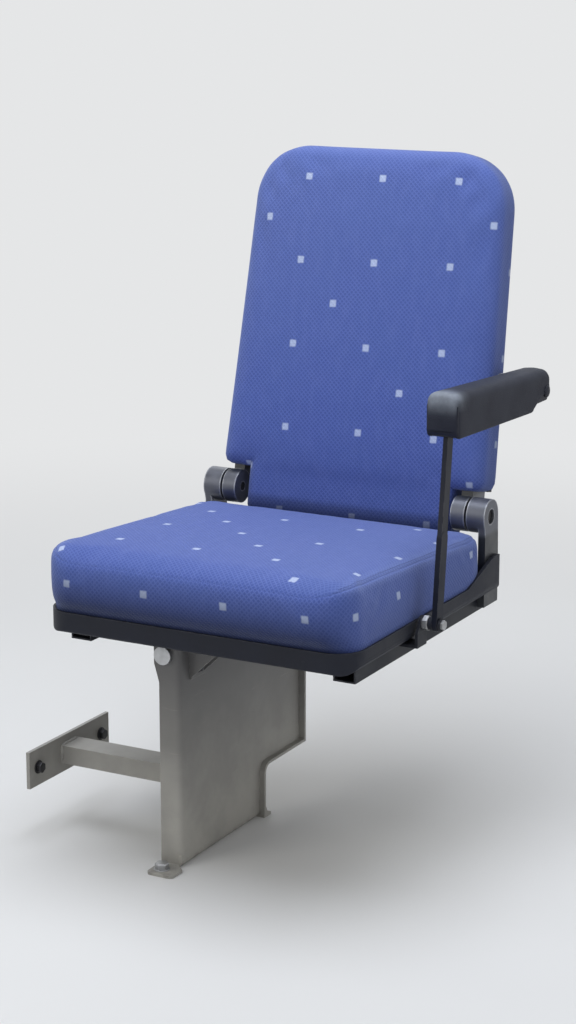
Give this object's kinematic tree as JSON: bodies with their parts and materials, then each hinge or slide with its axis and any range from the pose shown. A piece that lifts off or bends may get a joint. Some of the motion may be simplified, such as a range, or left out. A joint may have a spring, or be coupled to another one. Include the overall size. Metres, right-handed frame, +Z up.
{
  "type": "folding bus passenger seat",
  "caption": "Upholstered single seat on a wall-side steel pedestal; the cushion flips up sideways and the backrest folds forward with its armrest on a stay.",
  "frame": {"origin": "on the floor, midway between the two floor bolts of the pedestal", "axes": "+Z up, +X towards the aisle and away from the wall, the seat faces -Y"},
  "size_m": [0.546, 0.5767, 0.8759],
  "materials": {
    "pedestal_paint": "warm grey paint, satin",
    "frame_paint": "dark grey paint, satin",
    "bare_steel": "zinc plated",
    "cast_arm": "silver grey casting, satin",
    "tray_plastic": "fine moulded grain",
    "shell_plastic": "fine moulded grain",
    "moquette": "indigo moquette with a fine lattice and small pale squares",
    "armrest_plastic": "moulded",
    "armrest_skin": "soft foam skin, worn on top",
    "stay_paint": "black",
    "buffer_rubber": "black rubber"
  },
  "bodies": {
    "leg": {"pedestal": "pedestal_paint", "hinge_shaft": "bare_steel", "stop_bracket": "pedestal_paint", "stop_buffers": "buffer_rubber", "wall_tie": "pedestal_paint"},
    "seat": {"cross_member_front": "frame_paint", "cross_member_rear": "frame_paint", "side_rail_left": "frame_paint", "side_rail_right": "frame_paint", "seat_tray": "tray_plastic", "seat_cushion": "moquette", "arm_left": "cast_arm", "arm_right": "cast_arm", "hinge_pin_left": "bare_steel", "hinge_pin_right": "bare_steel", "stay_bracket": "frame_paint"},
    "back": {"back_shell": "shell_plastic", "back_pad": "moquette", "back_lug_left": "cast_arm", "back_lug_right": "cast_arm", "armrest_bracket": "cast_arm"},
    "armrest": {"armrest_body": "armrest_plastic", "armrest_pad": "armrest_skin"},
    "stay": {"stay_bar": "stay_paint"}
  },
  "joints": [
    {"name": "seat_flip", "type": "hinge", "parent": "leg", "child": "seat", "pos_m": [-0.006, 0, 0.28], "axis": [0, -1, 0], "range_deg": [0, 90]},
    {"name": "back_fold", "type": "hinge", "parent": "seat", "child": "back", "pos_m": [0.073, 0.264, 0.416], "axis": [1, 0, 0], "range_deg": [0, 96]},
    {"name": "armrest_turn", "type": "hinge", "parent": "back", "child": "armrest", "pos_m": [0.3155, 0.31141, 0.57882], "axis": [1, 0, 0], "range_deg": [-99, 0]},
    {"name": "stay_turn", "type": "hinge", "parent": "seat", "child": "stay", "pos_m": [0.3155, 0.028, 0.336], "axis": [1, 0, 0], "range_deg": [0, 62]}
  ],
  "couplings": [
    {"joint": "armrest_turn", "follows": "back_fold", "ratio": -1.03},
    {"joint": "stay_turn", "follows": "back_fold", "ratio": 0.64}
  ]
}
